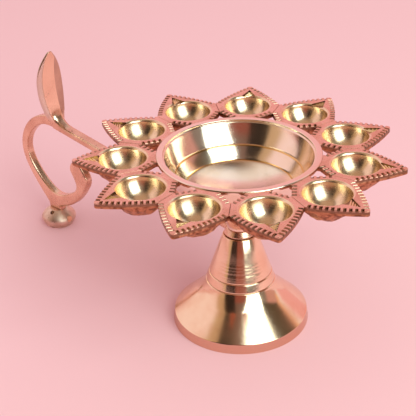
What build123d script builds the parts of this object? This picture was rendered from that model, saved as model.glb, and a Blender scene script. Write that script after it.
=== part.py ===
from build123d import *
import os
from math import atan2, cos, degrees, radians, sin

os.makedirs("parts", exist_ok=True)

# A brass lamp for waving: a ring of leaf cups round a bowl, on a bell, with a scrolled handle.
# Millimetres. Z is the bell's axis, the table is Z = 0, and the handle runs out along -X.

# Clearances
screw_clearance = 0.05        # radial, where the stud turns in the bell
seat_clearance = 0.05         # radial, where fixed round pieces sit in each other
braze_gap = 0.10              # between neighbouring leaf cups

# Bell base: a turned trumpet, open below
bell_radius = 34.6
bell_height = 49.0
bell_top_radius = 8.4
bell_waist_radius = 17.4
bell_waist_height = 23.5
bell_bend_radius = 20.8
bell_bend_height = 18.1       # below this the flare runs straight to the band
bell_band_height = 5.0        # upright band round the foot
bell_band_taper = 0.7
bell_wall = 2.6
bell_foot_width = 3.0         # flat ring that stands on the table
bell_crown_depth = 12.0       # solid crown that takes the stud
bell_edge = 0.6
groove_spacing = 4.5
groove_depth = 0.45

# Stud and washer that hold bell, handle and bowl together
stud_radius = 3.0
stud_in_bell = 11.0
stud_in_bowl = 11.0
stud_chamfer = 0.6
washer_radius = 7.5
washer_thickness = 0.6

# Handle hub, clamped on the stud
hub_height = 3.4
hub_radius = 8.2
hub_taper = 1.7

# Bowl with its stem, turned
neck_radius = 6.4
stem_flare = 2.2              # how much wider the stem is where it starts to spread
stem_flare_rise = 4.6
bowl_height = 40.5            # foot of the stem to the rim
bowl_depth = 21.2
bowl_mouth_radius = 36.4
bowl_mouth_step = 0.6         # thin step inside the mouth
bowl_rim_width = 3.2
bowl_rim_thickness = 2.0
bowl_rim_edge = 0.6
bowl_wall = 2.2
bowl_floor_radius = 26.0
bowl_floor_dish = 3.7
bowl_side_bow = 1.1           # how far the bowl's side bows out
bowl_line_depth = 0.35
bowl_upper_line = 0.42        # second turned line, as a share of the way up the side

# Ring of leaf cups, in distances out from the bowl's rim
leaf_count = 11
ring_turn = -3.7              # angle of the first leaf from +X
leaf_drop = 0.5               # top of the leaves below the rim
leaf_thickness = 2.8
leaf_length = 40.4            # rim to leaf tip
leaf_shoulder = 19.7          # rim to the outer end of the joint between neighbours
leaf_crotch = 8.7             # rim to the inner end of that joint
leaf_side_bow = 1.1
leaf_tip_round = 1.4
tab_width = 12.0              # tongue that laps under the rim
cup_out = 15.9                # rim to cup axis
cup_mouth_radius = 12.5
cup_bevel = 1.3
cup_depth = 10.6
cup_wall = 1.9
cup_skirt = 1.1               # how much wider than its mouth the cup leaves the leaf

# Carving on each leaf
notch_pitch = 2.7
notch_width = 1.3
notch_depth = 0.75
notch_reach = 2.3             # how far a notch runs in from the edge
notch_margin = 2.2            # bare stretch at each end of a side
recess_width = 7.2
recess_length = 8.0
recess_depth = 0.9

# Handle casting, drawn in its own upright plane as reach from the bell axis and height
bar_width = 6.4
bar_thickness = 3.7
bar_climb = 14.6
bar_edge = 1.0
thumb_reach = 133.5           # bell axis to the foot of the thumb leaf
thumb_leaf_width = 17.0
thumb_leaf_length = 42.0
thumb_leaf_widest = 20.5      # height of the widest place above the bar
thumb_leaf_point = 1.6        # width of the blunt tip
thumb_leaf_thickness = 3.0
thumb_leaf_tip_thickness = 1.2
thumb_leaf_lean = 3.6
thumb_leaf_hollow = 3.1       # how far the thumb side bows outwards
thumb_leaf_heel = 4.6         # thickness where the leaf grows out of the bar
thumb_leaf_slope = 14.0       # how far the margins turn back from the middle facet
thumb_bend = 7.0              # stretch in which the bar turns up into the leaf
loop_width = 5.0
loop_edge = 0.7
loop_back = 8.0               # thumb leaf to the start of the loop
loop_back_rise = 3.8
loop_span = 35.8              # thumb leaf to the outermost point of the loop
loop_middle = 33.0            # height of that point above the foot button
loop_band = 5.0
loop_shoulder_in = 11.5       # upper bend, in from the outermost point and up
loop_shoulder_up = 21.0
loop_shoulder_band = 5.6
loop_hip_in = 10.8            # lower bend
loop_hip_down = 20.6
loop_hip_band = 6.2
loop_bottom_band = 10.5
loop_bend_slope = 45.0        # the bends' thickness is measured along this slope
loop_throat_out = 5.0         # inside of the loop under the thumb leaf, from where the loop starts
loop_throat_down = 7.4
scroll_span = 20.4            # thumb leaf to the innermost point of the scroll
scroll_rise = 27.5            # height of that point above the foot button
scroll_hip_in = 13.6          # low bend of the scroll
scroll_hip_down = 18.8
scroll_hip_band = 6.4
scroll_hip_slope = 120.0
scroll_waist_in = 2.8
scroll_waist_down = 6.8
scroll_waist_band = 7.0
scroll_head_in = 4.6          # top of the rolled head
scroll_head_up = 8.0
scroll_head_width = 9.2
scroll_head_drop = 5.0

# Foot button under the loop
foot_out = 10.5               # thumb leaf to foot axis
foot_radius = 10.0
foot_height = 10.5
foot_widest = 4.4
foot_base_radius = 7.6
foot_top_radius = 5.0
foot_collar = 2.5             # short upright of the handle over the button
tenon_radius = 2.4
tenon_length = 7.2
tenon_root = 1.0
socket_spare = 0.3
pin_radius = 1.7
pin_height = 5.6
foot_hole_radius = 1.3
foot_hole_depth = 3.0
foot_hole_turn = -75.0
foot_hole_tilt = 45.0
foot_hole_out = 1.0           # mouth of the hole, out and down from the button's top edge
foot_hole_down = 1.2

# Heights and reaches that follow
washer_top = bell_height + washer_thickness
hub_top = washer_top + hub_height
rim_top = hub_top + bowl_height
rim_under = rim_top - bowl_rim_thickness
rim_radius = bowl_mouth_radius + bowl_rim_width
bowl_under_radius = bowl_mouth_radius - bowl_mouth_step + bowl_wall
leaf_top = rim_top - leaf_drop
leaf_bottom = leaf_top - leaf_thickness
leaf_half_angle = 180 / leaf_count
cup_reach = rim_radius + cup_out
bar_end_height = hub_top + bar_climb
foot_reach = thumb_reach + foot_out


def turned(profile):
    return revolve(make_face(Plane.XZ * profile), Axis.Z)


def upright(reach, height):
    return Vector(-reach, height)


def polar(reach, angle):
    return Vector(reach * cos(radians(angle)), reach * sin(radians(angle)))


def ring_groove(radius, height, depth):
    ring = Pos(radius, height) * Rectangle(depth, depth, rotation=45)
    return revolve(Plane.XZ * ring, Axis.Z)


def bell_side_radius(height):
    slope = (bell_waist_radius - bell_top_radius) / (bell_height - bell_waist_height)
    return bell_top_radius + slope * (bell_height - height)


def bell_base():
    roof = bell_height - bell_crown_depth
    bore = stud_radius + screw_clearance
    foot_inner = bell_radius - bell_foot_width
    shoulder = bell_height - bell_edge
    edge = Line((bell_top_radius - bell_edge, bell_height), (bell_side_radius(shoulder), shoulder))
    side = Line(edge @ 1, (bell_waist_radius, bell_waist_height))
    bend = TangentArc(side @ 1, (bell_bend_radius, bell_bend_height), tangent=side % 1)
    foot = Polyline(
        bend @ 1,
        (bell_radius - bell_band_taper, bell_band_height),
        (bell_radius, bell_edge),
        (bell_radius - bell_edge, 0),
        (foot_inner, 0),
        (foot_inner, bell_band_height / 2),
    )
    inner_side = Line(
        (bell_side_radius(roof) - bell_wall, roof),
        (bell_waist_radius - bell_wall, bell_waist_height),
    )
    inner_flare = TangentArc(inner_side @ 1, foot @ 1, tangent=inner_side % 1)
    crown = Polyline(inner_side @ 0, (bore, roof), (bore, bell_height), edge @ 0)
    bell = turned(Curve() + [edge, side, bend, foot, inner_flare, inner_side, crown])
    for height in (bell_waist_height, bell_waist_height + groove_spacing):
        bell -= ring_groove(bell_side_radius(height), height, groove_depth)
    return bell


def neck_washer():
    ring = Circle(washer_radius) - Circle(stud_radius + seat_clearance)
    return Pos(0, 0, bell_height) * extrude(ring, washer_thickness)


def centre_stud():
    lower_end = bell_height - stud_in_bell
    rod = extrude(Circle(stud_radius), hub_top + stud_in_bowl - lower_end)
    return Pos(0, 0, lower_end) * chamfer(rod.edges(), stud_chamfer)


def central_bowl():
    bore = stud_radius + seat_clearance
    bore_top = hub_top + stud_in_bowl + seat_clearance
    floor_height = rim_top - bowl_depth
    mouth = (bowl_mouth_radius - bowl_mouth_step, rim_top - 2 * bowl_mouth_step)
    floor = TangentArc((0, floor_height), (bowl_floor_radius, floor_height + bowl_floor_dish), tangent=(1, 0))
    side = SagittaArc(floor @ 1, mouth, -bowl_side_bow)
    rim = Polyline(
        side @ 1,
        (bowl_mouth_radius, (side @ 1).Y),
        (bowl_mouth_radius, rim_top),
        (rim_radius - bowl_rim_edge, rim_top),
        (rim_radius, rim_top - bowl_rim_edge),
        (rim_radius, rim_under),
        (bowl_under_radius, rim_under),
    )
    under_floor = floor @ 1 + Vector(bowl_wall / 2, -bowl_wall)
    under = SagittaArc(rim @ 1, under_floor, bowl_side_bow)
    stem = Spline(
        under @ 1,
        (neck_radius + stem_flare, hub_top + stem_flare_rise),
        (neck_radius, hub_top),
        tangents=[under % 1, (0, -1)],
    )
    socket = Polyline(stem @ 1, (bore, hub_top), (bore, bore_top), (0, bore_top), floor @ 0)
    bowl = turned(Curve() + [floor, side, rim, under, stem, socket])
    for line in (floor @ 1, side @ bowl_upper_line):
        bowl -= ring_groove(line.X, line.Y, bowl_line_depth)
    return bowl


def leaf_half_outline():
    joint_gap = polar(braze_gap / 2, leaf_half_angle - 90)
    shoulder = polar(rim_radius + leaf_shoulder, leaf_half_angle) + joint_gap
    crotch = polar(rim_radius + leaf_crotch, leaf_half_angle) + joint_gap
    inner = bowl_under_radius + seat_clearance
    side = SagittaArc(shoulder, (rim_radius + leaf_length, 0), leaf_side_bow)
    joint = Line(shoulder, crotch)
    throat = Line(crotch, (rim_radius, tab_width / 2))
    tongue = Polyline(throat @ 1, (inner, tab_width / 2), (inner, 0))
    return [side, throat], Curve() + [side, joint, throat, tongue]


def edge_notches(border):
    count = int((border.length - 2 * notch_margin) / notch_pitch) + 1
    wedge = Polygon((-notch_width / 2, 0), (notch_width / 2, 0), (0, -notch_depth), align=None)
    bar = extrude(Plane.XZ * wedge, notch_reach, both=True)
    cuts = []
    for index in range(count):
        place = (notch_margin + index * notch_pitch) / border.length
        point = border @ place
        along = border % place
        turn = degrees(atan2(along.Y, along.X))
        cuts.append(Pos(point.X, point.Y, leaf_top) * Rot(0, 0, turn) * bar)
    return cuts


def cup_hollow():
    rim = (cup_mouth_radius - cup_bevel, leaf_top - cup_bevel)
    bowl = TangentArc((0, leaf_top - cup_depth), rim, tangent=(1, 0))
    lip = Polyline(
        bowl @ 1,
        (cup_mouth_radius, leaf_top),
        (cup_mouth_radius, leaf_top + cup_bevel),
        (0, leaf_top + cup_bevel),
        bowl @ 0,
    )
    return Pos(cup_reach, 0, 0) * turned(Curve() + [bowl, lip])


def cup_shell():
    skirt_radius = cup_mouth_radius + cup_skirt
    shell = TangentArc((0, leaf_top - cup_depth - cup_wall), (skirt_radius, leaf_bottom), tangent=(1, 0))
    cap = Polyline(shell @ 1, (skirt_radius, leaf_top - cup_bevel), (0, leaf_top - cup_bevel), shell @ 0)
    return Pos(cup_reach, 0, 0) * turned(Curve() + [shell, cap])


def wick_recess():
    start = cup_reach + cup_mouth_radius - cup_bevel
    triangle = Polygon(
        (start, -recess_width / 2),
        (start + recess_length, 0),
        (start, recess_width / 2),
        align=None,
    )
    return Pos(0, 0, leaf_top - recess_depth) * extrude(triangle, 2 * recess_depth)


def leaf_cup():
    borders, half = leaf_half_outline()
    plate = extrude(make_face(half + mirror(half, Plane.XZ)), leaf_thickness)
    tip = plate.edges().filter_by(Axis.Z).sort_by(Axis.X)[-1]
    leaf = Pos(0, 0, leaf_bottom) * fillet(tip, leaf_tip_round)
    leaf -= Pos(0, 0, rim_under) * extrude(Circle(rim_radius + seat_clearance), bowl_rim_thickness)
    leaf += cup_shell()
    for cut in edge_notches(borders[0]) + edge_notches(borders[1]):
        leaf -= cut
        leaf -= mirror(cut, Plane.XZ)
    return leaf - cup_hollow() - wick_recess()


def bar_top(reach):
    return bar_end_height - bar_climb * (thumb_reach - reach) / (thumb_reach - hub_radius)


def thumb_front():
    return SagittaArc(
        upright(thumb_reach, bar_end_height - bar_thickness / 2),
        upright(thumb_reach + thumb_leaf_lean, bar_end_height + thumb_leaf_length),
        thumb_leaf_hollow,
    )


def handle_bar():
    start = hub_radius / 2
    bend_start = thumb_reach - thumb_bend
    heel = thumb_reach + thumb_leaf_heel
    front = thumb_front()
    top = Line(upright(start, bar_top(start)), upright(bend_start, bar_top(bend_start)))
    bend = TangentArc(top @ 1, front @ ((bar_thickness / 2 + thumb_bend) / front.length), tangent=top % 1)
    under = Polyline(
        bend @ 1,
        upright(heel, bar_end_height),
        upright(heel, bar_top(heel) - bar_thickness),
        upright(start, bar_top(start) - bar_thickness),
        top @ 0,
    )
    bar = extrude(make_face(Plane.XZ * (Curve() + [top, bend, under])), bar_width / 2, both=True)
    return fillet(bar.edges().sort_by(SortBy.LENGTH)[-6:], bar_edge)


def handle_loop():
    outer_reach = thumb_reach + loop_span
    outer_height = foot_height + loop_middle
    inner_reach = thumb_reach - scroll_span
    inner_height = foot_height + scroll_rise
    under_bar = upright(thumb_reach, bar_end_height - bar_thickness)
    back = upright(thumb_reach + loop_back, bar_end_height + loop_back_rise)
    shoulder = upright(outer_reach - loop_shoulder_in, outer_height + loop_shoulder_up)
    outermost = upright(outer_reach, outer_height)
    hip = upright(outer_reach - loop_hip_in, outer_height - loop_hip_down)
    heel = upright(foot_reach + foot_top_radius, foot_height + foot_collar)
    outer = Spline(back, shoulder, outermost, hip, heel)
    seat = Polyline(
        outer @ 1,
        upright(foot_reach + foot_top_radius, foot_height),
        upright(foot_reach - foot_top_radius, foot_height),
        upright(foot_reach - foot_top_radius, foot_height + foot_collar),
    )
    scroll_hip = upright(inner_reach + scroll_hip_in, inner_height - scroll_hip_down)
    waist = upright(inner_reach + scroll_waist_in, inner_height - scroll_waist_down)
    head_top = upright(inner_reach + scroll_head_in, inner_height + scroll_head_up)
    scroll = Spline(seat @ 1, scroll_hip, waist, upright(inner_reach, inner_height), head_top)
    head_end = head_top + upright(scroll_head_width, -scroll_head_drop)
    head = TangentArc(head_top, head_end, tangent=scroll % 1)
    inner = Spline(
        head_end,
        waist + upright(scroll_waist_band, 0),
        scroll_hip + polar(scroll_hip_band, scroll_hip_slope),
        upright(foot_reach - foot_top_radius / 2, foot_height + loop_bottom_band),
        hip + polar(loop_hip_band, loop_bend_slope),
        outermost + Vector(loop_band, 0),
        shoulder + polar(loop_shoulder_band, -loop_bend_slope),
        back + upright(loop_throat_out, -loop_throat_down),
        under_bar,
    )
    close = Polyline(under_bar, upright(thumb_reach, bar_end_height), back)
    face = make_face(Plane.XZ * (Curve() + [outer, seat, scroll, head, inner, close]))
    loop = extrude(face, loop_width / 2, both=True)
    rims = [rim for rim in loop.edges() if rim.length > loop_middle]
    return chamfer(rims, loop_edge)


def thumb_leaf():
    root = bar_end_height - bar_thickness / 2
    tip_height = bar_end_height + thumb_leaf_length
    widest_height = bar_end_height + thumb_leaf_widest
    front = thumb_front()
    tip = Line(front @ 1, front @ 1 + upright(thumb_leaf_tip_thickness, 0))
    back = ThreePointArc(
        tip @ 1,
        front @ 0.5 + upright(thumb_leaf_thickness, 0),
        upright(thumb_reach + thumb_leaf_heel, root),
    )
    blade = make_face(Plane.XZ * (Curve() + [front, tip, back, Line(back @ 1, front @ 0)]))
    turned_back = Vector(-sin(radians(thumb_leaf_slope)), cos(radians(thumb_leaf_slope)), 0)
    margin = Pos(0, bar_width / 2, 0) * extrude(blade, thumb_leaf_width / 2, dir=turned_back)
    faceted = extrude(blade, bar_width / 2, both=True) + margin + mirror(margin, Plane.XZ)
    edge = ThreePointArc(
        (bar_width / 2, root),
        (thumb_leaf_width / 2, widest_height),
        (thumb_leaf_point / 2, tip_height),
    )
    half = make_face(Curve() + [edge, Polyline(edge @ 1, (0, tip_height), (0, root), edge @ 0)])
    outline = Plane.YZ * (half + mirror(half, Plane.YZ))
    return faceted & extrude(blade, thumb_leaf_width / 2, both=True) & extrude(outline, -2 * thumb_reach)


def foot_profile():
    base = Line((0, 0), (foot_base_radius, 0))
    flank = ThreePointArc(base @ 1, (foot_radius, foot_widest), (foot_top_radius, foot_height))
    top = Polyline(flank @ 1, (0, foot_height), (0, 0))
    return Pos(-foot_reach, 0, 0) * turned(Curve() + [base, flank, top])


def pin_rod(radius):
    return Pos(-foot_reach, 0, pin_height) * extrude(Plane.YZ * Circle(radius), 2 * foot_radius)


def handle():
    hub = Pos(0, 0, washer_top) * Cone(
        hub_radius,
        hub_radius - hub_taper,
        hub_height,
        align=(Align.CENTER, Align.CENTER, Align.MIN),
    )
    tenon = extrude(Circle(tenon_radius), tenon_length + tenon_root)
    casting = handle_bar() + handle_loop() + thumb_leaf() + hub
    casting += Pos(-foot_reach, 0, foot_height - tenon_length) * tenon
    casting -= Pos(0, 0, hub_top) * extrude(Circle(hub_radius), bar_thickness)
    casting -= Pos(0, 0, washer_top) * extrude(Circle(hub_radius), -bar_thickness)
    casting -= Pos(0, 0, washer_top) * extrude(Circle(stud_radius + seat_clearance), hub_height)
    return casting - pin_rod(pin_radius + seat_clearance)


def handle_foot():
    socket_depth = tenon_length + socket_spare
    socket = extrude(Circle(tenon_radius + seat_clearance), socket_depth)
    hole = Rot(0, 90 - foot_hole_tilt, 0) * extrude(Circle(foot_hole_radius), foot_hole_depth, both=True)
    mouth = Pos(foot_top_radius + foot_hole_out, 0, foot_height - foot_hole_down)
    button = foot_profile()
    button -= Pos(-foot_reach, 0, foot_height - socket_depth) * socket
    button -= Pos(-foot_reach, 0, 0) * Rot(0, 0, foot_hole_turn) * mouth * hole
    return button - pin_rod(pin_radius + seat_clearance)


def foot_pin():
    return pin_rod(pin_radius) & foot_profile()


def save(name, solid):
    export_step(solid, f"parts/{name}.step")


save("bell_base", bell_base())
save("neck_washer", neck_washer())
save("centre_stud", centre_stud())
save("central_bowl", central_bowl())
save("handle", handle())
save("handle_foot", handle_foot())
save("foot_pin", foot_pin())
cup = leaf_cup()
for number in range(leaf_count):
    turn = ring_turn + number * 360 / leaf_count
    save(f"petal_cup_{number + 1:02d}", Rot(0, 0, turn) * cup)
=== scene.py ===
import math
import bmesh
import bpy
from mathutils import Matrix, Vector, noise


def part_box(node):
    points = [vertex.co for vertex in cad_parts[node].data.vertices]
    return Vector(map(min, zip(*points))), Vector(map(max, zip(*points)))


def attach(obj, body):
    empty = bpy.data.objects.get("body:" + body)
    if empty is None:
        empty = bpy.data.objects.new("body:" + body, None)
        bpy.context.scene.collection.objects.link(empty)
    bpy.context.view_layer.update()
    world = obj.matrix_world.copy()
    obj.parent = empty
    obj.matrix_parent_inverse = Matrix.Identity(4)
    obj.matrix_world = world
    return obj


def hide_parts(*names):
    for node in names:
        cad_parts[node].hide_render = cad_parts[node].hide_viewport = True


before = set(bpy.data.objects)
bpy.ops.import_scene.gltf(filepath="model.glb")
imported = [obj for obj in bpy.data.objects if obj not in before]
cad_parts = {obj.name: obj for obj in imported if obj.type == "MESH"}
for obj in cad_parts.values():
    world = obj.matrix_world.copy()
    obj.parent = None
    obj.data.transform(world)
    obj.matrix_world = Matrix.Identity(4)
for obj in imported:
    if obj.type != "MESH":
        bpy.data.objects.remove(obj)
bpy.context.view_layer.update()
mm = 0.001
weld = 0.001 * mm  # points closer than this are one
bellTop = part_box("bell_base")[1]
washerLow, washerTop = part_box("neck_washer")
bowlFoot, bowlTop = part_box("central_bowl")
studEnd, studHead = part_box("centre_stud")
footLow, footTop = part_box("handle_foot")
leafNodes = sorted(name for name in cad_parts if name.startswith("petal_cup"))
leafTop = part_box(leafNodes[0])[1].z
print("lamp: frame loaded")


# shader maths on sockets
class Wire:
    def __init__(self, tree, socket=None):
        self.tree = tree
        self.socket = socket

    def node(self, kind, settings, values, output=0):
        made = self.tree.nodes.new("ShaderNode" + kind)
        for name, setting in settings.items():
            setattr(made, name, setting)
        for name, value in values.items():
            if isinstance(value, Wire):
                self.tree.links.new(value.socket, made.inputs[name])
            else:
                made.inputs[name].default_value = value
        return Wire(self.tree, made.outputs[output])

    def math(self, operation, *values):
        return self.node("Math", {"operation": operation}, dict(enumerate(values)))

    def __add__(self, other):
        return self.math("ADD", self, other)

    def __sub__(self, other):
        return self.math("SUBTRACT", self, other)

    def __rsub__(self, other):
        return self.math("SUBTRACT", other, self)

    def __mul__(self, other):
        return self.math("MULTIPLY", self, other)

    def __pow__(self, other):
        return self.math("POWER", self, other)

    def __rpow__(self, other):
        return self.math("POWER", other, self)

    def __abs__(self):
        return self.math("ABSOLUTE", self)

    __radd__ = __add__
    __rmul__ = __mul__

    def split(self):
        outputs = self.node("SeparateXYZ", {}, {0: self}).socket.node.outputs
        return [Wire(self.tree, output) for output in outputs]

    def fade(self, start, end, low=0.0, high=1.0):
        values = {"Value": self, "From Min": start, "From Max": end, "To Min": low, "To Max": high}
        return self.node("MapRange", {"interpolation_type": "SMOOTHSTEP"}, values)

    def tint(self, first, second):
        values = {0: self, 6: first, 7: second}
        return self.node("Mix", {"data_type": "RGBA"}, values, output=2)

    def speckle(self, scale, detail, roughness=0.55):
        values = {"Vector": self, "Scale": scale, "Detail": detail, "Roughness": roughness}
        return self.node("TexNoise", {}, values)

    def lines(self, scale, detail=2.0):
        values = {"W": self, "Scale": scale, "Detail": detail, "Roughness": 0.6}
        return self.node("TexNoise", {"noise_dimensions": "1D"}, values)

    def bump(self, distance):
        return self.node("Bump", {}, {"Height": self, "Distance": distance, "Strength": 1.0})


def startMaterial(name):
    material = bpy.data.materials.new(name)
    material.use_nodes = True
    tree = material.node_tree
    shader = tree.nodes["Principled BSDF"]
    shader.inputs["Metallic"].default_value = 1.0
    place = Wire(tree).node("TexCoord", {}, {}, output="Object")
    return material, shader, place


def dress(shader, colour, rough, normal):
    for name, wire in (("Base Color", colour), ("Roughness", rough), ("Normal", normal)):
        wire.tree.links.new(wire.socket, shader.inputs[name])


brightBrass = (0.93, 0.73, 0.52, 1.0)
warmBrass = (0.89, 0.62, 0.42, 1.0)
goldBrass = (0.88, 0.62, 0.32, 1.0)
roseBrass = (0.90, 0.56, 0.42, 1.0)
copperBrass = (0.76, 0.43, 0.29, 1.0)
grimeAndShade = (0.16, 0.08, 0.04, 1.0)

# turned surfaces: lathe rings, hairline scratches, smudges and a tint along the scored lines
turning = dict(smudgeTone=(0.35, 0.70), smudgeShine=(0.3, 0.75), fineRings=0.55, broadRings=0.45,
               broadScale=0.22, zoneScale=0.4, zoneEdge=0.3, hairWidth=0.005, hairRough=0.06,
               hairDepth=0.1, satinEdge=0.3 * mm)


def turnedBrass(name, look):
    material, shader, place = startMaterial(name)
    across, along, height = place.split()
    radius = (across * across + along * along) ** 0.5
    travel = radius + height
    rings = travel.lines(look["ringScale"])
    broad = travel.lines(look["ringScale"] * turning["broadScale"])
    smudge = place.speckle(look["smudgeScale"], 4.0)
    offHair = abs(place.speckle(look["scratchScale"], 1.0) - 0.5)
    hairline = offHair.fade(0.0, turning["hairWidth"], 1.0, 0.0)
    colour = smudge.fade(*turning["smudgeTone"]).tint(look["bright"], look["dull"])
    scores = [(height, score) for score in look.get("scoredHeights", [])]
    scores += [(radius, score) for score in look.get("scoredRadii", [])]
    for reading, (line, width) in scores:
        mark = abs(reading - line).fade(width / 2, width, 1.0, 0.0)
        colour = (mark * look["hollowTint"]).tint(colour, look["lineColour"])
    rough = smudge.fade(*turning["smudgeShine"], look["polish"], look["haze"])
    rough = rough + rings * look["ringRough"] + hairline * turning["hairRough"]
    relief = rings * turning["fineRings"] + broad * turning["broadRings"] - hairline * turning["hairDepth"]
    for low, high in look.get("ringZones", []):
        edge = (high - low) * turning["zoneEdge"]
        zone = height.fade(low, low + edge) * height.fade(high, high - edge)
        coarse = travel.lines(look["ringScale"] * turning["zoneScale"], 0.0)
        relief = relief + zone * coarse * look["zoneRings"]
    if "satinTop" in look:
        footBand = height.fade(look["satinTop"], look["satinTop"] - turning["satinEdge"])
        # the foot band's darker copper colour is partly tarnish and partly painted shade
        colour = footBand.tint(colour, look["satinTarnishAndShade"])
        rough = rough + footBand * look["satinRough"]
    dress(shader, colour, rough, relief.bump(look["ringDepth"]))
    return material


# cast surfaces: sand grain, pits, uneven tone, painted shade below a given height, an underside darkened
# partly as painted shade, and worn facets with painted light and shade on their margins
castSkin = dict(tone=(0.32, 0.68), shine=(0.25, 0.75), pitSize=(0.05, 0.24), pitPatches=(0.42, 0.62),
                pitDirt=0.55, pitRough=0.15, pitDepth=0.8, lumpTone=(0.35, 0.6), underRough=0.18,
                wearTone=(0.3, 0.75), leastWear=0.5, wearShine=0.08, marginEdge=(0.93, 1.07))


def castBrass(name, look):
    material, shader, place = startMaterial(name)
    height = place.split()[2]
    tone = place.speckle(look["toneScale"], 4.0)
    grain = place.speckle(look["grainScale"], 6.0, 0.65)
    cells = place.node("TexVoronoi", {}, {"Vector": place, "Scale": look["pitScale"]})
    pits = cells.fade(*castSkin["pitSize"], 1.0, 0.0) * tone.fade(*castSkin["pitPatches"])
    colour = tone.fade(*castSkin["tone"]).tint(look["bright"], look["dull"])
    colour = (pits * castSkin["pitDirt"]).tint(colour, grimeAndShade)
    rough = grain.fade(*castSkin["shine"], look["polish"], look["haze"]) + pits * castSkin["pitRough"]
    relief = grain - pits * castSkin["pitDepth"]
    if "shadeTop" in look:
        # painted shade: the flutes and the plate's edges, below the top of the leaf, are darkened towards a
        # grime colour
        depth = height.fade(look["shadeTop"], look["shadeTop"] - look["shadeDepth"])
        colour = (depth * look["hollowTint"]).tint(colour, grimeAndShade)
        # the underside, below the top: a coppery cast skin with darker lumps, darkened partly as painted
        # shade
        under = height.fade(look["underTop"], look["underTop"] - look["underDepth"])
        lumps = place.speckle(look["lumpScale"], 4.0)
        shadowed = lumps.fade(*castSkin["lumpTone"]).tint(look["underDark"], look["underColour"])
        colour = under.tint(colour, shadowed)
        rough = rough + under * castSkin["underRough"]
        relief = relief + under * lumps * look["underRelief"]
    if "facet" in look:
        across = place.node("Attribute", {"attribute_name": look["facet"]}, {}, output=2)
        blade = height.fade(look["bladeFoot"], look["bladeFoot"] + look["bladeBlend"])
        wearAndMarginLight = tone.fade(*castSkin["wearTone"], 1.0, castSkin["leastWear"]) * blade
        colour = wearAndMarginLight.tint(colour, look["facetColour"])
        # painted light and shade: the near margin of the thumb facet is painted grey and the far margin brown
        for side, paintedMarginLight in ((-1, look["nearColour"]), (1, look["farColour"])):
            margin = (across * side).fade(*castSkin["marginEdge"])
            colour = (margin * wearAndMarginLight).tint(colour, paintedMarginLight)
        rough = rough - wearAndMarginLight * castSkin["wearShine"]
    dress(shader, colour, rough, relief.bump(look["grainDepth"]))
    return material


# the inside of a cup, turned about its own axis, which the mesh gives as an attribute
def cupBrass(name, look):
    material, shader, place = startMaterial(name)
    travel = place.node("Attribute", {"attribute_name": look["travel"]}, {}, output=2)
    rings = travel.lines(look["ringScale"], 3.0)
    smudge = place.speckle(look["smudgeScale"], 4.0)
    specks = place.speckle(look["speckScale"], 5.0, 0.7).fade(*look["speckTone"])
    colour = smudge.fade(*look["smudgeTone"]).tint(look["bright"], look["dull"])
    colour = (specks * look["speckDirt"]).tint(colour, grimeAndShade)
    rough = smudge.fade(*look["smudgeShine"], look["polish"], look["haze"]) + rings * look["ringRough"]
    dress(shader, colour, rough, rings.bump(look["ringDepth"]))
    return material


# outlines, as points of radius and height or of reach and height
def rightOf(way):
    return Vector((way.y, -way.x))


def arcFrom(start, heading, end, steps):
    ahead = heading.normalized()
    chord = end - start
    across = chord.dot(-rightOf(ahead))
    centre = start - rightOf(ahead) * (chord.length_squared / (2 * across))
    turn = 2 * math.atan2(across, chord.dot(ahead))
    arm = start - centre
    return [centre + Matrix.Rotation(turn * step / steps, 2) @ arm for step in range(steps + 1)]


def bowedArc(start, end, bow, steps):
    chord = end - start
    lead = 2 * math.atan(2 * bow / chord.length)
    return arcFrom(start, Matrix.Rotation(-lead, 2) @ chord, end, steps)


def scored(point, way, width, depth):
    return [point - way * width / 2, point + rightOf(way) * depth, point + way * width / 2]


# rounds the corners that bend by more than a little
def softened(points, size, leastBend=math.radians(24), reach=0.45):
    made = [points[0]]
    for before, point, after in zip(points, points[1:], points[2:]):
        back, ahead = before - point, after - point
        if math.pi - back.angle(ahead) < leastBend:
            made.append(point)
            continue
        start = point + back.normalized() * min(size, back.length * reach)
        end = point + ahead.normalized() * min(size, ahead.length * reach)
        for share in (0.0, 0.33, 0.67, 1.0):
            made.append(start.lerp(point, share).lerp(point.lerp(end, share), share))
    return made + [points[-1]]


# a smooth curve through a few points, with even bending between them
def curveThrough(points, steps, startWay=None, endWay=None, rounds=60):
    spans = [(b - a).length for a, b in zip(points, points[1:])]
    slopes = [(b - a).normalized() for a, b in zip(points, points[1:])]
    last = len(points) - 1
    ways = [startWay or slopes[0]]
    ways += [(a + b) / 2 for a, b in zip(slopes, slopes[1:])]
    ways += [endWay or slopes[-1]]
    for _ in range(rounds):
        for i in range(last + 1):
            if 0 < i < last:
                near, far = 1 / spans[i - 1], 1 / spans[i]
                pull = 3 * (slopes[i - 1] * near + slopes[i] * far)
                ways[i] = (pull - ways[i - 1] * near - ways[i + 1] * far) / (2 * (near + far))
            elif i == 0 and startWay is None:
                ways[i] = (3 * slopes[0] - ways[1]) / 2
            elif i == last and endWay is None:
                ways[i] = (3 * slopes[-1] - ways[-2]) / 2
    made = []
    for i, span in enumerate(spans):
        for step in range(steps):
            t = step / steps
            blend = t * t * (3 - 2 * t)
            bend = ways[i] * (t * (1 - t) ** 2) - ways[i + 1] * (t * t * (1 - t))
            made.append(points[i].lerp(points[i + 1], blend) + bend * span)
    return made + [points[-1]]


def boredRing(bore, topRadius, footRadius, low, high):
    middle = (bore + topRadius) / 2
    corners = [(middle, high), (topRadius, high), (footRadius, low), (bore, low), (bore, high),
               (middle, high)]
    return [Vector(corner) for corner in corners]


# shapes
def strand(bm, points):
    ring = [bm.verts.new(point) for point in points]
    return ring + [bm.edges.new(pair) for pair in zip(ring, ring[1:])]


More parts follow.
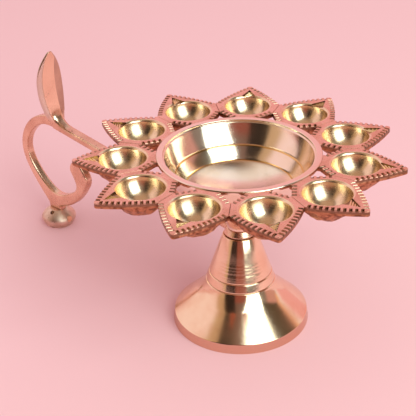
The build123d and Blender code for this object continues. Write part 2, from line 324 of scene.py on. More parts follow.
def lathe(outline, steps):
    bm = bmesh.new()
    line = strand(bm, [(point.x, 0, point.y) for point in outline])
    bmesh.ops.spin(bm, geom=line, cent=(0, 0, 0), axis=(0, 0, 1), angle=math.tau, steps=steps, use_merge=True)
    bmesh.ops.remove_doubles(bm, verts=bm.verts, dist=weld)
    bmesh.ops.recalc_face_normals(bm, faces=bm.faces)
    return bm


def thicken(corners, way):
    bm = bmesh.new()
    face = bm.faces.new([bm.verts.new(corner) for corner in corners])
    grown = bmesh.ops.extrude_face_region(bm, geom=[face])["geom"]
    bmesh.ops.translate(bm, verts=[v for v in grown if isinstance(v, bmesh.types.BMVert)], vec=way)
    bmesh.ops.recalc_face_normals(bm, faces=bm.faces)
    return bm


def roundEdges(bm, edges, size, segments):
    bmesh.ops.bevel(bm, geom=edges, offset=size, segments=segments, profile=0.5, affect="EDGES", material=-1)


def addRod(bm, place, radius, length, sides):
    bmesh.ops.create_cone(bm, cap_ends=True, segments=sides, radius1=radius, radius2=radius, depth=length,
                          matrix=place)


# an outline in the handle's upright plane, given an even width and rounded edges
def slab(points, width, rounding):
    bm = thicken([(-point.x, -width / 2, point.y) for point in points], (0, width, 0))
    roundEdges(bm, [e for e in bm.edges if abs(e.verts[0].co.y - e.verts[1].co.y) < width / 2], rounding, 3)
    return bm


def toObject(bm, name, finish):
    mesh = bpy.data.meshes.new(name)
    bm.to_mesh(mesh)
    bm.free()
    mesh.materials.append(finish)
    piece = bpy.data.objects.new(name, mesh)
    bpy.context.scene.collection.objects.link(piece)
    return piece


# bakes a piece's modifiers into its mesh
def settle(piece):
    bpy.context.view_layer.update()
    solved = piece.evaluated_get(bpy.context.evaluated_depsgraph_get())
    mesh = bpy.data.meshes.new_from_object(solved)
    piece.modifiers.clear()
    piece.data = mesh


def carve(piece, tool, operation):
    cut = piece.modifiers.new("cut", "BOOLEAN")
    cut.operation = operation
    cut.solver = "MANIFOLD"
    cut.material_mode = "TRANSFER"
    cut.object = tool
    settle(piece)
    bpy.data.objects.remove(tool)


def shade(piece, sharpest):
    piece.data.shade_smooth()
    piece.data.set_sharp_from_angle(angle=sharpest)
    flats = piece.modifiers.new("flats", "WEIGHTED_NORMAL")
    flats.keep_sharp = True


def seat(piece, body, node):
    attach(piece, body)
    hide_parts(node)


# bell base, with its shoulder as points in mm
bell = dict(topRadius=8.4 * mm, waistRadius=17.4 * mm, waistHeight=23.5 * mm, bendRadius=22.6 * mm,
            bendHeight=15.5 * mm, shoulder=[(10.22, 44.4), (12.19, 38.6), (14.58, 31.6)], band=5.0 * mm,
            taper=0.7 * mm, wall=2.6 * mm, footWidth=3.0 * mm, crown=12.0 * mm, bore=3.05 * mm,
            edge=0.3 * mm, grooveGap=4.5 * mm, grooveWidth=0.75 * mm, grooveDepth=0.4 * mm,
            grooveTintWidth=0.2 * mm, shoulderSteps=8, flareSteps=14, insideSteps=24, steps=200,
            sharpest=math.radians(40))
bellLook = dict(bright=brightBrass, dull=warmBrass, polish=0.10, haze=0.18, ringScale=2600.0,
                ringDepth=0.012 * mm, ringRough=0.05, smudgeScale=70.0, scratchScale=150.0,
                hollowTint=0.6, lineColour=grimeAndShade,
                scoredHeights=[(bell["waistHeight"], bell["grooveTintWidth"]),
                               (bell["waistHeight"] + bell["grooveGap"], bell["grooveTintWidth"])],
                ringZones=[(28.4 * mm, 38.0 * mm), (15.0 * mm, 23.2 * mm)], zoneRings=3.6,
                satinTop=bell["band"], satinTarnishAndShade=(0.74, 0.46, 0.33, 1.0), satinRough=0.05)


def bellOutline():
    height, radius = bellTop.z, bellTop.x
    top = Vector((bell["topRadius"], height))
    waist = Vector((bell["waistRadius"], bell["waistHeight"]))
    shoulder = [top] + [Vector(point) * mm for point in bell["shoulder"]]
    way = (waist - shoulder[-1]).normalized()
    upper = waist + way * (bell["grooveGap"] / way.y)
    bend = Vector((bell["bendRadius"], bell["bendHeight"]))
    flare = arcFrom(waist, way, bend, bell["flareSteps"])
    flare.append(Vector((radius - bell["taper"], bell["band"])))
    innerWaist = waist - Vector((bell["wall"], 0))
    roof = height - bell["crown"]
    innerTop = innerWaist + way * ((roof - innerWaist.y) / way.y)
    lip = Vector((radius - bell["footWidth"], bell["band"] / 2))
    innerFlare = arcFrom(innerWaist, way, lip, bell["insideSteps"])
    start = Vector(((bell["bore"] + bell["topRadius"]) / 2, height))
    outline = [start] + curveThrough(shoulder, bell["shoulderSteps"], None, way)
    for groove in (upper, waist):
        outline += scored(groove, way, bell["grooveWidth"], bell["grooveDepth"])
    outline += flare[1:] + [Vector((radius, 0)), Vector((lip.x, 0))] + innerFlare[::-1]
    outline += [innerTop, Vector((bell["bore"], roof)), Vector((bell["bore"], height)), start]
    return softened(outline, bell["edge"])


bellBrass = turnedBrass("turned bell brass", bellLook)
bellPiece = toObject(lathe(bellOutline(), bell["steps"]), "turnedBell", bellBrass)
shade(bellPiece, bell["sharpest"])
seat(bellPiece, "bell", "bell_base")
print("lamp: bell turned")


# neck washer
washer = dict(bore=3.05 * mm, edge=0.15 * mm, steps=96, sharpest=math.radians(40))
# the washer is coloured near black as painted shade, so that it shows as the dark seam at the crown
washerLook = dict(bright=(0.30, 0.16, 0.09, 1.0), dull=grimeAndShade, polish=0.35, haze=0.5, ringScale=1800.0,
                  ringDepth=0.02 * mm, ringRough=0.1, smudgeScale=160.0, scratchScale=300.0)
washerRing = boredRing(washer["bore"], washerTop.x, washerTop.x, washerLow.z, washerTop.z)
washerBody = lathe(softened(washerRing, washer["edge"]), washer["steps"])
washerPiece = toObject(washerBody, "neckWasher", turnedBrass("seam shade washer brass", washerLook))
shade(washerPiece, washer["sharpest"])
seat(washerPiece, "washer", "neck_washer")


# centre stud with its thread
stud = dict(pitch=1.25 * mm, threadDepth=0.65 * mm, crestFlat=0.16 * mm, stepsPerTurn=32,
            weld=0.005 * mm, endSlack=0.01 * mm, sharpest=math.radians(30))
studLook = dict(bright=goldBrass, dull=copperBrass, polish=0.25, haze=0.4, ringScale=3000.0,
                ringDepth=0.01 * mm, ringRough=0.1, smudgeScale=200.0, scratchScale=300.0)


def studThread():
    bm = bmesh.new()
    crest, root = studHead.x, studHead.x - stud["threadDepth"]
    half = stud["pitch"] / 2
    start = studEnd.z - stud["pitch"]
    tooth = [(root, 0), (crest, half - stud["crestFlat"]), (crest, half + stud["crestFlat"]),
             (root, stud["pitch"])]
    line = strand(bm, [(radius, 0, start + rise) for radius, rise in tooth])
    turns = math.ceil((studHead.z - start) / stud["pitch"]) + 1
    climb = (0, 0, stud["pitch"] / stud["stepsPerTurn"])
    bmesh.ops.spin(bm, geom=line, cent=(0, 0, 0), axis=(0, 0, 1), dvec=climb, angle=math.tau * turns,
                   steps=turns * stud["stepsPerTurn"])
    bmesh.ops.remove_doubles(bm, verts=bm.verts, dist=stud["weld"])
    for end, way in ((studEnd, -1), (studHead, 1)):
        everything = bm.verts[:] + bm.edges[:] + bm.faces[:]
        bmesh.ops.bisect_plane(bm, geom=everything, plane_co=(0, 0, end.z), plane_no=(0, 0, way),
                               clear_outer=True)
        rim = [e for e in bm.edges if e.is_boundary and abs(e.verts[0].co.z - end.z) < stud["endSlack"]]
        bmesh.ops.holes_fill(bm, edges=rim, sides=0)
    bmesh.ops.recalc_face_normals(bm, faces=bm.faces)
    return bm


studPiece = toObject(studThread(), "threadedStud", turnedBrass("stud brass", studLook))
shade(studPiece, stud["sharpest"])
seat(studPiece, "top", "centre_stud")
print("lamp: washer and stud made")


# bowl and stem
bowl = dict(mouthRadius=36.4 * mm, mouthStep=0.6 * mm, depth=21.2 * mm, floorRadius=26.0 * mm,
            floorDish=3.7 * mm, sideBow=1.1 * mm, wall=2.2 * mm, rimThickness=2.0 * mm, rimEdge=0.6 * mm,
            neckRadius=6.4 * mm, stemFlare=2.2 * mm, stemFlareRise=4.6 * mm, bore=3.05 * mm,
            boreDepth=11.05 * mm, upperLine=0.42, upperLineRadius=30.8 * mm, lineWidth=0.5 * mm,
            lineDepth=0.25 * mm, lineTintWidth=0.42 * mm, edge=0.35 * mm, insideSteps=24, bellySteps=16,
            stemSteps=20, steps=220, sharpest=math.radians(40))
bowlLook = dict(bright=(0.94, 0.80, 0.66, 1.0), dull=(0.92, 0.75, 0.57, 1.0), polish=0.09, haze=0.18,
                ringScale=2200.0, ringDepth=0.006 * mm, ringRough=0.04, smudgeScale=55.0,
                scratchScale=130.0, hollowTint=0.85, lineColour=(0.78, 0.47, 0.14, 1.0),
                scoredRadii=[(bowl["floorRadius"], bowl["lineTintWidth"]),
                             (bowl["upperLineRadius"], bowl["lineTintWidth"])])


def bowlOutline():
    top, low, rim = bowlTop.z, bowlFoot.z, bowlTop.x
    floorZ = top - bowl["depth"]
    floorEdge = Vector((bowl["floorRadius"], floorZ + bowl["floorDish"]))
    mouth = Vector((bowl["mouthRadius"] - bowl["mouthStep"], top - 2 * bowl["mouthStep"]))
    under = Vector((mouth.x + bowl["wall"], top - bowl["rimThickness"]))
    belowFloor = floorEdge + Vector((bowl["wall"] / 2, -bowl["wall"]))
    bed = arcFrom(Vector((0, floorZ)), Vector((1, 0)), floorEdge, bowl["insideSteps"])
    side = bowedArc(floorEdge, mouth, bowl["sideBow"], bowl["insideSteps"])
    belly = bowedArc(under, belowFloor, -bowl["sideBow"], bowl["bellySteps"])
    bellyWay = (belly[-1] - belly[-2]).normalized()
    flare = Vector((bowl["neckRadius"] + bowl["stemFlare"], low + bowl["stemFlareRise"]))
    neck = Vector((bowl["neckRadius"], low))
    stem = curveThrough([belly[-1], flare, neck], bowl["stemSteps"], bellyWay, Vector((0, -1)))
    lineAt = round(bowl["upperLine"] * (len(side) - 1))
    upperWay = (side[lineAt + 1] - side[lineAt]).normalized()
    lowerWay = (side[1] - bed[-2]).normalized()
    outline = bed[:-1] + scored(floorEdge, lowerWay, bowl["lineWidth"], bowl["lineDepth"]) + side[1:lineAt]
    outline += scored(side[lineAt], upperWay, bowl["lineWidth"], bowl["lineDepth"]) + side[lineAt + 1:]
    rimCorners = [(bowl["mouthRadius"], mouth.y), (bowl["mouthRadius"], top),
                  (rim - bowl["rimEdge"] / 2, top), (rim, top - bowl["rimEdge"] / 2), (rim, under.y)]
    outline += [Vector(corner) for corner in rimCorners] + belly + stem[1:]
    boreTop = low + bowl["boreDepth"]
    outline += [Vector((bowl["bore"], low)), Vector((bowl["bore"], boreTop)), Vector((0, boreTop))]
    return softened(outline, bowl["edge"])


bowlBrass = turnedBrass("polished bowl brass", bowlLook)
bowlPiece = toObject(lathe(bowlOutline(), bowl["steps"]), "turnedBowl", bowlBrass)
shade(bowlPiece, bowl["sharpest"])
seat(bowlPiece, "top", "central_bowl")
print("lamp: bowl turned")


# leaf cups, each made along x and then turned to its place
leaf = dict(turn=math.radians(-3.7), length=40.4 * mm, shoulder=19.7 * mm, crotch=8.7 * mm,
            sideBow=1.1 * mm, sideSteps=14, tongueWidth=12.0 * mm, tongueIn=1.55 * mm, thickness=2.8 * mm,
            jointGap=0.1 * mm, tipRound=1.45 * mm, edge=0.3 * mm, cupReach=15.9 * mm, seatGap=0.05 * mm,
            seatHeight=4.0 * mm, seatSteps=160, sharpest=math.radians(38))
cup = dict(mouth=12.5 * mm, bevel=1.3 * mm, depth=10.6 * mm, wall=1.9 * mm, skirt=1.1 * mm,
           roughness=0.55 * mm, lumpScale=260.0, lumpShift=7.3, lumpOctaves=4, wallSteps=18,
           shellSteps=72, floorSteps=26, lipSteps=6, steps=96)
border = dict(pitch=2.6 * mm, radius=0.80 * mm, depth=0.85 * mm, reach=2.4 * mm, margin=1.8 * mm,
              tipMargin=3.3 * mm, sides=10)
recess = dict(width=7.2 * mm, length=8.0 * mm, depth=0.9 * mm, ridges=4, ridgeRadius=0.46 * mm,
              ridgeRun=0.8, ridgeTaper=0.85, ridgeSides=8, slant=math.radians(32))
# the leaf's flutes and plate edges are darkened below the top as painted shade, and its underside partly as
# painted shade
leafLook = dict(bright=roseBrass, dull=(0.76, 0.44, 0.30, 1.0), polish=0.22, haze=0.38, toneScale=120.0,
                grainScale=1000.0, pitScale=600.0, grainDepth=0.06 * mm, shadeTop=leafTop - 0.15 * mm,
                shadeDepth=0.6 * mm, hollowTint=0.85, underTop=leafTop - 1.0 * mm, underDepth=1.2 * mm,
                lumpScale=420.0, underColour=(0.58, 0.26, 0.14, 1.0), underDark=(0.24, 0.09, 0.045, 1.0),
                underRelief=5.0)
# the wick recess is coloured a dark gold-brown as painted shade
recessLook = dict(bright=(0.52, 0.33, 0.16, 1.0), dull=(0.22, 0.11, 0.05, 1.0), polish=0.3, haze=0.45,
                  toneScale=200.0, grainScale=1000.0, pitScale=600.0, grainDepth=0.05 * mm)
ridgeLook = dict(bright=(0.95, 0.75, 0.45, 1.0), dull=goldBrass, polish=0.18, haze=0.3,
                 toneScale=200.0, grainScale=1000.0, pitScale=900.0, grainDepth=0.03 * mm)
cupLook = dict(bright=(0.91, 0.72, 0.50, 1.0), dull=(0.82, 0.61, 0.39, 1.0), polish=0.15, haze=0.24,
               travel="cupTravel", ringScale=3200.0, ringDepth=0.014 * mm, ringRough=0.10,
               smudgeScale=140.0, smudgeTone=(0.35, 0.7), smudgeShine=(0.3, 0.7), speckScale=900.0,
               speckTone=(0.60, 0.72), speckDirt=0.35)
leafBrass = castBrass("cast leaf brass", leafLook)
recessShadeBrass = castBrass("shaded recess brass", recessLook)
ridgeBrass = castBrass("worn ridge brass", ridgeLook)
cupInside = cupBrass("turned cup brass", cupLook)
rimRadius = bowlTop.x
cupReach = rimRadius + leaf["cupReach"]
layAcross = Matrix.Rotation(math.pi / 2, 4, "X")


def polar(reach, angle):
    return Vector((reach * math.cos(angle), reach * math.sin(angle)))


# one half of a leaf's edge: tip to shoulder, then crotch to tongue
def leafEdge():
    half = math.pi / len(leafNodes)
    inset = polar(leaf["jointGap"] / 2, half - math.pi / 2)
    shoulder = polar(rimRadius + leaf["shoulder"], half) + inset
    crotch = polar(rimRadius + leaf["crotch"], half) + inset
    root = Vector((rimRadius, leaf["tongueWidth"] / 2))
    tip = Vector((rimRadius + leaf["length"], 0))
    return bowedArc(tip, shoulder, leaf["sideBow"], leaf["sideSteps"]), [crotch, root]


def leafPlate():
    side, inner = leafEdge()
    tongue = Vector((rimRadius - leaf["tongueIn"], leaf["tongueWidth"] / 2))
    half = side + inner + [tongue]
    outline = half + [Vector((point.x, -point.y)) for point in half[:0:-1]]
    under = leafTop - leaf["thickness"]
    bm = thicken([(point.x, point.y, under) for point in outline], (0, 0, leaf["thickness"]))
    uprights = [e for e in bm.edges if abs(e.verts[0].co.z - e.verts[1].co.z) > leaf["thickness"] / 2]
    tip = max(uprights, key=lambda e: e.verts[0].co.x)
    roundEdges(bm, [tip], leaf["tipRound"], 5)
    rims = [e for e in bm.edges if abs(e.verts[0].co.z - e.verts[1].co.z) < leaf["thickness"] / 2]
    roundEdges(bm, rims, leaf["edge"], 2)
    return bm


def spotAlong(run, distance):
    for start, end in zip(run, run[1:]):
        length = (end - start).length
        if distance <= length:
            break
        distance -= length
    return start.lerp(end, distance / length), end - start


# rounded flutes across the border, square to the edge
def borderFlutes():
    bm = bmesh.new()
    side, inner = leafEdge()
    near = border["margin"] / 2
    height = leafTop + border["radius"] - border["depth"]
    for run, first, last in ((side, border["tipMargin"], border["margin"]), (inner, near, near)):
        covered = sum((b - a).length for a, b in zip(run, run[1:])) - first - last
        count = round(covered / border["pitch"])
        for index in range(count + 1):
            point, way = spotAlong(run, first + covered * index / count)
            for flip in (1, -1):
                turn = Matrix.Rotation(math.atan2(flip * way.y, way.x), 4, "Z")
                place = Matrix.Translation((point.x, flip * point.y, height)) @ turn @ layAcross
                addRod(bm, place, border["radius"], 2 * border["reach"], border["sides"])
    return bm


def cupShell(seed):
    skirt = cup["mouth"] + cup["skirt"]
    under = leafTop - leaf["thickness"]
    top = leafTop - cup["bevel"]
    bottom = Vector((0, leafTop - cup["depth"] - cup["wall"]))
    wall = arcFrom(bottom, Vector((1, 0)), Vector((skirt, under)), cup["wallSteps"])
    bm = lathe(wall + [Vector((skirt, top)), Vector((0, top))], cup["shellSteps"])
    shift = Vector((seed * cup["lumpShift"], 0, 0))
    for vert in bm.verts:
        sunk = min(1.0, max(0.0, (under - vert.co.z) / mm))
        lump = noise.fractal(vert.co * cup["lumpScale"] + shift, 1.0, 2.0, cup["lumpOctaves"])
        vert.co += vert.normal * lump * sunk * cup["roughness"]
    bmesh.ops.translate(bm, verts=bm.verts, vec=(cupReach, 0, 0))
    return bm


def cupHollow():
    throat = Vector((cup["mouth"] - cup["bevel"], leafTop - cup["bevel"]))
    floor = arcFrom(Vector((0, leafTop - cup["depth"])), Vector((1, 0)), throat, cup["floorSteps"])
    lip = arcFrom(throat, Vector((0, 1)), Vector((cup["mouth"], leafTop)), cup["lipSteps"])
    cap = [Vector((cup["mouth"], leafTop + cup["bevel"])), Vector((0, leafTop + cup["bevel"]))]
    bm = lathe(floor + lip[1:] + cap, cup["steps"])
    bmesh.ops.translate(bm, verts=bm.verts, vec=(cupReach, 0, 0))
    return bm


def wickRecess():
    start, half = cupReach + cup["mouth"] - cup["bevel"], recess["width"] / 2
    corners = [(start, -half), (start + recess["length"], 0), (start, half)]
    return thicken([(x, y, leafTop - recess["depth"]) for x, y in corners], (0, 0, 2 * recess["depth"]))


# slanted ridges on the floor of the recess
def wickRidges():
    bm = bmesh.new()
    start = cupReach + cup["mouth"]
    run = (recess["length"] - cup["bevel"]) * recess["ridgeRun"]
    slant = Matrix.Rotation(recess["slant"], 4, "Z")
    for index in range(recess["ridges"]):
        share = (index + 0.5) / recess["ridges"]
        length = recess["width"] * (1 - recess["ridgeTaper"] * share)
        place = Matrix.Translation((start + run * share, 0, leafTop - recess["depth"])) @ slant @ layAcross
        addRod(bm, place, recess["ridgeRadius"], length, recess["ridgeSides"])
    return bm


def rimSeat():
    radius = rimRadius + leaf["seatGap"]
    low = bowlTop.z - bowl["rimThickness"]
    high = low + leaf["seatHeight"]
    corners = [(0, low), (radius, low), (radius, high), (0, high)]
    return lathe([Vector(corner) for corner in corners], leaf["seatSteps"])


for number, node in enumerate(leafNodes):
    leafPiece = toObject(leafPlate(), node.replace("petal_cup", "leafCup"), leafBrass)
    carve(leafPiece, toObject(borderFlutes(), "flutes", leafBrass), "DIFFERENCE")
    carve(leafPiece, toObject(cupShell(number), "shell", leafBrass), "UNION")
    carve(leafPiece, toObject(wickRecess(), "recess", recessShadeBrass), "DIFFERENCE")
    carve(leafPiece, toObject(wickRidges(), "ridges", ridgeBrass), "UNION")
    carve(leafPiece, toObject(cupHollow(), "hollow", cupInside), "DIFFERENCE")
    carve(leafPiece, toObject(rimSeat(), "rimSeat", leafBrass), "DIFFERENCE")
    travel = leafPiece.data.attributes.new(cupLook["travel"], "FLOAT", "POINT")
    for vert, value in zip(leafPiece.data.vertices, travel.data):
        value.value = math.hypot(vert.co.x - cupReach, vert.co.y) - vert.co.z
    leafPiece.data.transform(Matrix.Rotation(leaf["turn"] + number * math.tau / len(leafNodes), 4, "Z"))
    shade(leafPiece, leaf["sharpest"])
    seat(leafPiece, "top", node)
print("lamp: leaf cups cast")


# handle casting, in reach from the bell's axis and height, with the loop's points in mm
bar = dict(width=6.4 * mm, thickness=3.7 * mm, climb=14.6 * mm, edge=1.1 * mm, bendSteps=8)
# near and far margins: the share that the facet takes of the swell, and how far they turn back
thumb = dict(reach=133.5 * mm, width=17.0 * mm, length=42.0 * mm, widest=20.5 * mm, point=2.4 * mm,
             bend=7.0 * mm, thickness=3.0 * mm, tipThickness=1.2 * mm, heel=4.6 * mm, lean=3.6 * mm,
             hollow=3.1 * mm, near=(0.62, math.radians(21)), far=(-0.1, math.radians(7)),
             swell=0.9, taper=2.6, widestFacet=0.7, marginBow=0.92, edge=0.5 * mm, widestEdge=0.2, rows=24)
loop = dict(width=5.0 * mm, edge=1.0 * mm, steps=10,
            outer=[(141.5, 71.4), (157.8, 64.5), (169.3, 43.5), (158.5, 22.9), (149.0, 13.0)],
            seat=[(149.0, 10.5), (139.0, 10.5)],
            scroll=[(139.0, 13.0), (126.7, 19.2), (115.9, 31.2), (113.1, 38.0), (117.7, 46.0)],
            inner=[(126.9, 41.0), (122.9, 31.2), (129.9, 24.7), (141.5, 21.0), (154.1, 27.3), (164.3, 43.5),
                   (153.8, 60.5), (146.5, 64.0), (133.5, 63.9)],
            root=[(133.5, 67.6)])
hub = dict(radius=8.2 * mm, topRadius=6.5 * mm, bore=3.05 * mm, edge=0.3 * mm, steps=96)
casting = dict(voxel=0.34 * mm, smoothing=2, bendSmoothing=24, sharpest=math.radians(60))
barFoot = bowlFoot.z
barEnd = barFoot + bar["climb"]
thumbRoot = barEnd - bar["thickness"] / 2
thumbSpan = thumb["length"] + bar["thickness"] / 2
# the thumb facet's near and far margin colours are painted light and shade
handleLook = dict(bright=(0.88, 0.60, 0.43, 1.0), dull=(0.70, 0.42, 0.29, 1.0), polish=0.20, haze=0.34,
                  toneScale=60.0, grainScale=900.0, pitScale=300.0, grainDepth=0.03 * mm,
                  facet="facetAcross", bladeFoot=barEnd + mm, bladeBlend=5.0 * mm,
                  facetColour=(0.92, 0.66, 0.46, 1.0), nearColour=(0.66, 0.56, 0.47, 1.0),
                  farColour=(0.50, 0.33, 0.24, 1.0))


def barTop(reach):
    return barEnd - bar["climb"] * (thumb["reach"] - reach) / (thumb["reach"] - hub["radius"])


def thumbFront():
    root = Vector((thumb["reach"], thumbRoot))
    tip = Vector((thumb["reach"] + thumb["lean"], barEnd + thumb["length"]))
    return bowedArc(root, tip, thumb["hollow"], thumb["rows"])


# the bar, turning up into the thumb leaf at its end
def barBody():
    start, bend, heel = hub["radius"] / 2, thumb["reach"] - thumb["bend"], thumb["reach"] + thumb["heel"]
    top = Vector((start, barTop(start)))
    turn = Vector((bend, barTop(bend)))
    front = thumbFront()
    clear = thumb["bend"] + bar["thickness"] / 2
    rise = next(point for point in front if (point - front[0]).length > clear)
    corners = [(heel, barEnd), (heel, barTop(heel) - bar["thickness"]),
               (start, barTop(start) - bar["thickness"])]
    outline = [top] + arcFrom(turn, turn - top, rise, bar["bendSteps"])
    return slab(outline + [Vector(corner) for corner in corners], bar["width"], bar["edge"])


def loopBody():
    runs = {}
    for name in ("outer", "seat", "scroll", "inner", "root"):
        runs[name] = [Vector(point) * mm for point in loop[name]]
    outer = curveThrough(runs["outer"], loop["steps"])
    scroll = curveThrough(runs["scroll"], loop["steps"])
    head = arcFrom(scroll[-1], scroll[-1] - scroll[-2], runs["inner"][0], loop["steps"])
    inner = curveThrough(runs["inner"], loop["steps"])
    outline = outer + runs["seat"] + scroll + head[1:-1] + inner + runs["root"]
    return slab(outline, loop["width"], loop["edge"])


# half width and thickness of the thumb leaf at a share of its length, root to tip
def thumbRow(share):
    rise = share * thumbSpan
    peak = thumb["widest"] + bar["thickness"] / 2
    foot, top, point = bar["width"] / 2, thumb["width"] / 2, thumb["point"] / 2
    if rise < peak:
        half = foot + (top - foot) * math.sin(math.pi / 2 * rise / peak) ** thumb["swell"]
    else:
        fall = (rise - peak) / (thumb["length"] - thumb["widest"])
        half = point + (top - point) * (1 - fall ** thumb["taper"])
    thick = thumb["thickness"] + (thumb["heel"] - thumb["thickness"]) * (1 - min(1, 2 * share)) ** 2
    thick += (thumb["tipThickness"] - thumb["thickness"]) * max(0, 2 * share - 1) ** 2
    return half, thick


def thumbFacet(half, share):
    foot = bar["width"] / 2
    return min(foot + max(0, half - foot) * share, half * thumb["widestFacet"])


# a flat middle facet, a narrow and a wide margin that turn back, and a flat back
def thumbSection(point, share):
    half, thick = thumbRow(share)
    edge = min(thumb["edge"], half * thumb["widestEdge"])
    ring = []
    for flip, (facetShare, slope) in ((1, thumb["far"]), (-1, thumb["near"])):
        facet = thumbFacet(half, facetShare)
        back = (half - facet) * math.tan(slope)
        side = [(0, facet), (back * thumb["marginBow"], half - edge), (back + edge, half),
                (thick - edge, half), (thick, half - edge)]
        ring += [(depth, flip * across) for depth, across in side[::flip]]
    return [Vector((-point.x - depth, across, point.y)) for depth, across in ring]


def thumbLeaf():
    front = thumbFront()
    bm = bmesh.new()
    face = bm.faces.new([bm.verts.new(place) for place in thumbSection(front[0], 0)])
    for index, point in enumerate(front[1:]):
        grown = bmesh.ops.extrude_face_region(bm, geom=[face])["geom"]
        face = next(part for part in grown if isinstance(part, bmesh.types.BMFace))
        for vert, place in zip(face.verts, thumbSection(point, (index + 1) / thumb["rows"])):
            vert.co = place
    bmesh.ops.recalc_face_normals(bm, faces=bm.faces)
    return bm


def hubBody():
    ring = boredRing(hub["bore"], hub["topRadius"], hub["radius"], washerTop.z, barFoot)
    return lathe(softened(ring, hub["edge"]), hub["steps"])


def relax(bm, verts, rounds):
    for _ in range(rounds):
        bmesh.ops.smooth_vert(bm, verts=verts, factor=0.5, use_axis_x=True, use_axis_y=True, use_axis_z=True)


# joins the bodies under one skin, and marks where each point lies across the thumb facet
def castHandle():
    joined = bmesh.new()
    for body in (barBody(), loopBody(), thumbLeaf(), hubBody()):
        part = bpy.data.meshes.new("part")
        body.to_mesh(part)
        body.free()
        joined.from_mesh(part)
        bpy.data.meshes.remove(part)
    piece = toObject(joined, "castHandle", castBrass("cast handle brass", handleLook))
    skin = piece.modifiers.new("skin", "REMESH")
    skin.mode = "VOXEL"
    skin.voxel_size = casting["voxel"]
    settle(piece)
    bm = bmesh.new()
    bm.from_mesh(piece.data)
    relax(bm, bm.verts, casting["smoothing"])
    turn = Vector((-thumb["reach"], 0, barEnd + thumb["bend"] / 2))
    relax(bm, [v for v in bm.verts if (v.co - turn).length < thumb["bend"]], casting["bendSmoothing"])
    bm.to_mesh(piece.data)
    bm.free()
    across = piece.data.attributes.new(handleLook["facet"], "FLOAT", "POINT")
    for vert, value in zip(piece.data.vertices, across.data):
        half, _ = thumbRow(min(1.0, max(0.0, (vert.co.z - thumbRoot) / thumbSpan)))
        value.value = vert.co.y / thumbFacet(half, thumb["far" if vert.co.y > 0 else "near"][0])
    return piece


handlePiece = castHandle()
shade(handlePiece, casting["sharpest"])
seat(handlePiece, "top", "handle")
print("lamp: handle cast")


# foot button with its small hole and the seat of its pin
foot = dict(radius=10.0 * mm, widest=4.4 * mm, baseRadius=7.6 * mm, topRadius=5.0 * mm, edge=0.6 * mm,
            holeRadius=1.3 * mm, holeDepth=3.0 * mm, holeOut=1.0 * mm, holeDown=1.2 * mm,
            holeTurn=math.radians(-75), holeTilt=math.radians(45), holeSides=24, pinRadius=1.75 * mm,
            pinHeight=5.6 * mm, pinSides=32, flankSteps=14, steps=96, sharpest=math.radians(40))
footX = (footLow.x + footTop.x) / 2
footLook = dict(bright=(0.86, 0.68, 0.54, 1.0), dull=(0.64, 0.46, 0.35, 1.0), polish=0.36, haze=0.52,
                toneScale=150.0, grainScale=800.0, pitScale=500.0, grainDepth=0.06 * mm)
pinLook = dict(bright=(0.97, 0.62, 0.41, 1.0), dull=(0.90, 0.52, 0.32, 1.0), polish=0.36, haze=0.42,
               toneScale=300.0, grainScale=1200.0, pitScale=900.0, grainDepth=0.03 * mm)


def footButton():
    height = footTop.z
    base, top = Vector((foot["baseRadius"], 0)), Vector((foot["topRadius"], height))
    middle = Vector((foot["radius"], foot["widest"]))
    flank = curveThrough([base, middle, top], foot["flankSteps"])
    outline = softened([Vector((0, 0))] + flank + [Vector((0, height))], foot["edge"])
    bm = lathe(outline, foot["steps"])
    bmesh.ops.translate(bm, verts=bm.verts, vec=(footX, 0, 0))
    return bm


def footHole():
    bm = bmesh.new()
    mouth = Matrix.Translation((foot["topRadius"] + foot["holeOut"], 0, footTop.z - foot["holeDown"]))
    place = Matrix.Translation((footX, 0, 0)) @ Matrix.Rotation(foot["holeTurn"], 4, "Z") @ mouth
    place = place @ Matrix.Rotation(math.pi / 2 - foot["holeTilt"], 4, "Y")
    addRod(bm, place, foot["holeRadius"], 2 * foot["holeDepth"], foot["holeSides"])
    return bm


def pinHole():
    bm = bmesh.new()
    place = Matrix.Translation((footX + foot["radius"], 0, foot["pinHeight"]))
    place = place @ Matrix.Rotation(math.pi / 2, 4, "Y")
    addRod(bm, place, foot["pinRadius"], 2 * foot["radius"], foot["pinSides"])
    return bm


footBrass = castBrass("dull foot brass", footLook)
footPiece = toObject(footButton(), "footButton", footBrass)
carve(footPiece, toObject(footHole(), "hole", footBrass), "DIFFERENCE")
carve(footPiece, toObject(pinHole(), "pinHole", footBrass), "DIFFERENCE")
shade(footPiece, foot["sharpest"])
seat(footPiece, "top", "handle_foot")
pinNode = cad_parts["foot_pin"]
pinNode.data.materials.clear()
pinNode.data.materials.append(castBrass("filed pin brass", pinLook))
print("lamp: foot made")


# floor, lights and camera
studio = dict(floorSize=8.0, floorColour=(0.92, 0.60, 0.62, 1.0), floorRough=0.85, floorSheen=0.1,
              backColour=(0.92, 0.60, 0.62, 1.0), roomColour=(0.025, 0.015, 0.010, 1.0),
              fillColour=(0.74, 0.56, 0.57, 1.0), cameraAzimuth=math.radians(-48.2), middle=148.0)
keyLight = dict(turn=38.5, rise=33, distance=2.5, width=1.85, height=2.5, power=60, colour=(0.85, 1.0, 0.98))
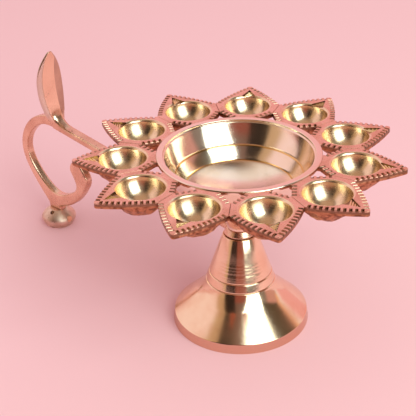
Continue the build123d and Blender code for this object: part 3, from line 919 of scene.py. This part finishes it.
# what the metal mirrors: turn from the camera, then rise, each as low, high and softness in degrees
glows = dict(high=((-90, 400, 5), (58, 100, 6), (0.34, 0.23, 0.16, 1.0)),
             zenith=((-90, 400, 5), (66, 100, 8), (0.52, 0.34, 0.25, 1.0)),
             haze=((-16, 20, 4), (20, 66, 9), (0.20, 0.11, 0.085, 1.0)),
             strip=((-16, 20, 3), (-100, 27, 9), (0.30, 0.08, 0.055, 1.0)),
             grey=((58, 80, 6), (-100, 34, 6), (0.26, 0.20, 0.17, 1.0)),
             blush=((78, 124, 5), (-100, 30, 5), (0.64, 0.32, 0.28, 1.0)),
             olive=((62, 108, 4), (28, 60, 5), (0.11, 0.075, 0.045, 1.0)),
             amber=((107, 115, 3), (10, 40, 4), (0.90, 0.46, 0.26, 1.0)),
             back=((114, 214, 6), (-100, 52, 5), (1.0, 0.96, 0.98, 1.0)),
             backLeft=((187, 214, 5), (-100, 60, 4), (1.0, 0.92, 0.90, 1.0)),
             horizon=((120, 214, 7), (-100, 40, 3), (0.98, 0.56, 0.62, 1.0)),
             dusk=((120, 176, 8), (-100, 37, 3), (0.92, 0.44, 0.46, 1.0)),
             edge=((280, 312, 1.5), (-100, 56, 5), (0.62, 0.42, 0.26, 1.0)),
             left=((206, 290, 7), (-100, 56, 5), (1.0, 0.76, 0.76, 1.0)),
             lowLeft=((206, 300, 7), (-100, 6, 4), (0.85, 0.46, 0.43, 1.0)))
camera = dict(place=(308.84 * mm, -345.85 * mm, 327.20 * mm), heading=math.radians(43.683),
              tilt=math.radians(90 - 29.656), roll=math.radians(-1.495), lens=94.43, nearest=0.01)


def addFloor():
    bm = bmesh.new()
    bmesh.ops.create_grid(bm, x_segments=1, y_segments=1, size=studio["floorSize"] / 2)
    material = bpy.data.materials.new("plain floor")
    material.use_nodes = True
    shader = material.node_tree.nodes["Principled BSDF"]
    shader.inputs["Base Color"].default_value = studio["floorColour"]
    shader.inputs["Roughness"].default_value = studio["floorRough"]
    shader.inputs["Specular IOR Level"].default_value = studio["floorSheen"]
    toObject(bm, "floor", material)


def wayTo(turn, rise):
    azimuth, height = studio["cameraAzimuth"] + math.radians(turn), math.radians(rise)
    flat = polar(math.cos(height), azimuth)
    return Vector((flat.x, flat.y, math.sin(height)))


def addWorld():
    world = bpy.data.worlds.new("studio")
    bpy.context.scene.world = world
    world.use_nodes = True
    tree = world.node_tree
    way = Wire(tree).node("TexCoord", {}, {}, output="Generated")

    def along(turn):
        return way.node("VectorMath", {"operation": "DOT_PRODUCT"}, {0: way, 1: wayTo(turn, 0)}, output=1)

    def span(value, low, high, soft):
        return value.fade(low - soft, low + soft) * value.fade(high + soft, high - soft)

    middle = studio["middle"]
    turn = way.math("ARCTAN2", along(middle + 90), along(middle)) * math.degrees(1) + middle
    rise = way.math("ARCSINE", way.split()[2]) * math.degrees(1)
    colour = studio["roomColour"]
    for turnSpan, riseSpan, glow in glows.values():
        colour = (span(turn, *turnSpan) * span(rise, *riseSpan)).tint(colour, glow)
    seen = way.node("LightPath", {}, {}, output="Is Camera Ray")
    mirrored = way.node("LightPath", {}, {}, output="Is Glossy Ray")
    colour = seen.tint(mirrored.tint(studio["fillColour"], colour), studio["backColour"])
    tree.links.new(colour.socket, tree.nodes["Background"].inputs["Color"])


def addKeyLight():
    light = bpy.data.lights.new("keySoftbox", "AREA")
    light.shape = "RECTANGLE"
    light.size = keyLight["width"]
    light.size_y = keyLight["height"]
    light.energy = keyLight["power"]
    light.color = keyLight["colour"]
    lamp = bpy.data.objects.new("keySoftbox", light)
    bpy.context.scene.collection.objects.link(lamp)
    way = wayTo(keyLight["turn"], keyLight["rise"])
    lamp.location = way * keyLight["distance"] + Vector((0, 0, bellTop.z))
    lamp.rotation_euler = way.to_track_quat("Z", "Y").to_euler()


def addCamera():
    data = bpy.data.cameras.new("camera")
    data.lens = camera["lens"]
    data.clip_start = camera["nearest"]
    piece = bpy.data.objects.new("camera", data)
    bpy.context.scene.collection.objects.link(piece)
    turns = Matrix.Rotation(camera["heading"], 4, "Z") @ Matrix.Rotation(camera["tilt"], 4, "X")
    turns = turns @ Matrix.Rotation(camera["roll"], 4, "Z")
    piece.matrix_world = Matrix.Translation(camera["place"]) @ turns
    bpy.context.scene.camera = piece


addFloor()
addWorld()
addKeyLight()
addCamera()
bpy.context.scene.view_settings.view_transform = "Standard"
print("lamp: studio set")
